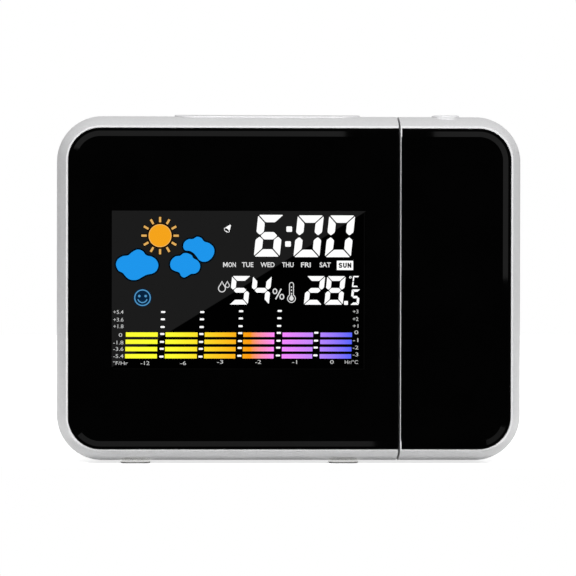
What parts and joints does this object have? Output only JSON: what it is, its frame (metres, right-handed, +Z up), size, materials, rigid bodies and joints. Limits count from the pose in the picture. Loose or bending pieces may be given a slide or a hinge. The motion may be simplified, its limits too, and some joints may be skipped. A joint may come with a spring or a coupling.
{
  "type": "projection alarm clock",
  "caption": "Desk alarm clock with a lit colour display behind a black front panel, a snooze bar on top and a projector arm that turns on its end.",
  "frame": {"origin": "on the table under the middle of the clock, midway between its front face and the rear of the focus ring", "axes": "+X to the viewer's right along the front, towards the projector arm; +Y to the rear; +Z up"},
  "size_m": [0.155, 0.0346, 0.1159],
  "materials": {
    "silver_case": "satin silver paint on ABS",
    "black_panel": "polished black-backed acrylic",
    "lcd": "dark negative display glass",
    "white_plastic": "moulded white ABS",
    "black_plastic": "moulded black ABS",
    "clear_plastic": "clear moulded acrylic",
    "white_sheet": "white reflector film",
    "board_green": "solder-masked board",
    "chip_black": "moulded epoxy",
    "rubber_dark": "black silicone rubber",
    "steel": "zinc-plated steel",
    "nickel": "nickel-plated spring steel",
    "cell_wrap": "shrink-sleeved cell",
    "key_silver": "satin silver paint on ABS",
    "bar_silver": "satin light silver paint on ABS",
    "wire_sleeve": "PVC insulation",
    "lens_glass": "polished lens",
    "bush_plastic": "natural acetal",
    "sensor_blue": "moulded sensor shell"
  },
  "bodies": {
    "clock": {"front_case": "silver_case", "rear_case": "silver_case", "front_panel": "black_panel", "lcd_glass": "lcd", "lcd_frame": "white_plastic", "light_guide": "clear_plastic", "reflector_sheet": "white_sheet", "backlight_board": "board_green", "lcd_connector": "rubber_dark", "main_board": "board_green", "controller_chip": "chip_black", "board_parts": "chip_black", "thermo_sensor": "sensor_blue", "buzzer": "chip_black", "key_board": "board_green", "key_switches": "chip_black", "slide_switch": "white_plastic", "snooze_board": "board_green", "snooze_switch": "chip_black", "dc_jack": "chip_black", "battery_cells": "cell_wrap", "battery_tabs": "nickel", "battery_leaves": "nickel", "case_screws": "steel", "board_screws": "steel", "rubber_feet": "rubber_dark", "pivot_bush": "bush_plastic", "friction_washer": "steel", "main_wires": "wire_sleeve"},
    "projector_arm": {"arm_front_case": "silver_case", "arm_rear_case": "silver_case", "arm_panel": "black_panel", "pivot_tube": "black_plastic", "pivot_clip": "steel", "wire_grommet": "rubber_dark", "arm_wires": "wire_sleeve", "projector_housing": "black_plastic", "projector_board": "board_green", "projector_led": "lens_glass", "condenser_lens": "lens_glass", "image_lcd": "lcd", "arm_key_board": "board_green", "arm_key_switch": "chip_black", "arm_screws": "steel", "projector_screws": "steel"},
    "snooze_bar": {"snooze_bar": "bar_silver"},
    "hold_slider": {"hold_slider": "black_plastic"},
    "battery_door": {"battery_door": "silver_case"},
    "projection_key": {"projection_key": "bar_silver"},
    "focus_ring": {"focus_ring": "black_plastic"},
    "lens_barrel": {"lens_barrel": "black_plastic", "objective_lens": "lens_glass"},
    "mode_key": {"mode_key": "key_silver"},
    "up_key": {"up_key": "key_silver"},
    "down_key": {"down_key": "key_silver"},
    "alarm_key": {"alarm_key": "key_silver"},
    "memory_key": {"memory_key": "key_silver"},
    "unit_key": {"unit_key": "key_silver"}
  },
  "joints": [
    {"name": "arm_turn", "type": "hinge", "parent": "clock", "child": "projector_arm", "pos_m": [0.0361, -0.0008, 0.05795], "axis": [1, 0, 0], "range_deg": [0, 180]},
    {"name": "snooze_press", "type": "slide", "parent": "clock", "child": "snooze_bar", "axis": [0, 0, -1], "range_m": [0, 0.0012], "stiffness_N_per_m": 800, "springref_m": -0.0003},
    {"name": "hold_slide", "type": "slide", "parent": "clock", "child": "hold_slider", "axis": [1, 0, 0], "range_m": [0, 0.0025]},
    {"name": "door_lift_off", "type": "slide", "parent": "clock", "child": "battery_door", "axis": [0, 1, 0], "range_m": [0, 0.03]},
    {"name": "projection_press", "type": "slide", "parent": "projector_arm", "child": "projection_key", "axis": [0, 0, -1], "range_m": [0, 0.0008], "stiffness_N_per_m": 600, "springref_m": -0.0003},
    {"name": "focus_turn", "type": "hinge", "parent": "projector_arm", "child": "focus_ring", "pos_m": [0.05695, 0.0157, 0.08195], "axis": [0, 1, 0], "range_deg": [-75, 75]},
    {"name": "focus_travel", "type": "slide", "parent": "projector_arm", "child": "lens_barrel", "axis": [0, 1, 0], "range_m": [-0.001, 0.001]},
    {"name": "mode_press", "type": "slide", "parent": "clock", "child": "mode_key", "axis": [0, -1, 0], "range_m": [0, 0.0006], "stiffness_N_per_m": 600, "springref_m": -0.0003},
    {"name": "up_press", "type": "slide", "parent": "clock", "child": "up_key", "axis": [0, -1, 0], "range_m": [0, 0.0006], "stiffness_N_per_m": 600, "springref_m": -0.0003},
    {"name": "down_press", "type": "slide", "parent": "clock", "child": "down_key", "axis": [0, -1, 0], "range_m": [0, 0.0006], "stiffness_N_per_m": 600, "springref_m": -0.0003},
    {"name": "alarm_press", "type": "slide", "parent": "clock", "child": "alarm_key", "axis": [0, -1, 0], "range_m": [0, 0.0006], "stiffness_N_per_m": 600, "springref_m": -0.0003},
    {"name": "memory_press", "type": "slide", "parent": "clock", "child": "memory_key", "axis": [0, -1, 0], "range_m": [0, 0.0006], "stiffness_N_per_m": 600, "springref_m": -0.0003},
    {"name": "unit_press", "type": "slide", "parent": "clock", "child": "unit_key", "axis": [0, -1, 0], "range_m": [0, 0.0006], "stiffness_N_per_m": 600, "springref_m": -0.0003}
  ],
  "couplings": [
    {"joint": "focus_turn", "follows": "focus_travel", "rad_per_m": 1308}
  ]
}
